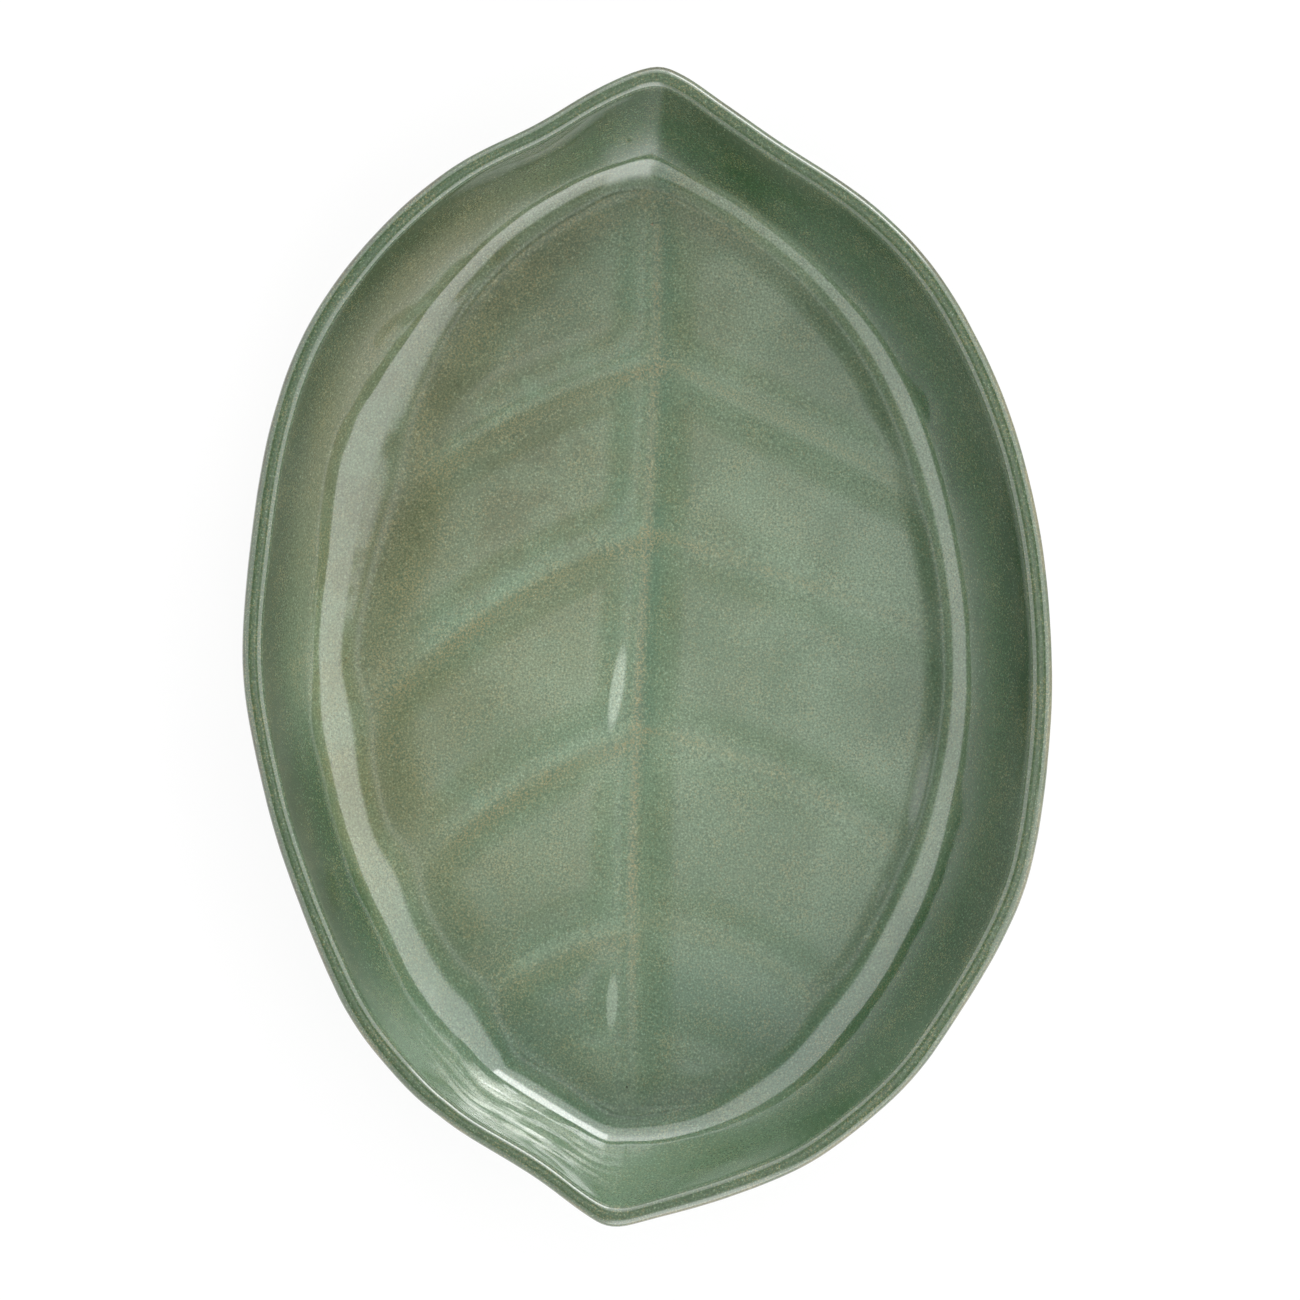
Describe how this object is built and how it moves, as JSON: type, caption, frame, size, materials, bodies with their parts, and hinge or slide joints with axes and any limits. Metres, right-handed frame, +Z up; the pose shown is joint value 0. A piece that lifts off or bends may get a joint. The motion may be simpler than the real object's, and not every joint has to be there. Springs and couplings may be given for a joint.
{
  "type": "leaf shaped plate",
  "caption": "Deep leaf shaped stoneware serving plate with raised veins in its floor, steep walls, a flat rim and a bare foot ring.",
  "frame": {"origin": "centre of the plate's outline, on the surface that its foot ring stands on", "axes": "+Y along the midrib to the leaf's upper tip, +X across the leaf to the right seen from above, +Z up"},
  "size_m": [0.2058, 0.2948, 0.042],
  "materials": {
    "reactive_glaze": "glossy sage green reactive glaze, speckled, breaking brown on edges and ridges and pooling blue-green in the grooves",
    "bare_stoneware": "matt unglazed stoneware, warm buff with fine dark specks"
  },
  "bodies": {
    "root": {"clay_body": "bare_stoneware", "foot_ring": "bare_stoneware", "glaze_coat": "reactive_glaze", "base_glaze": "reactive_glaze"}
  },
  "joints": []
}
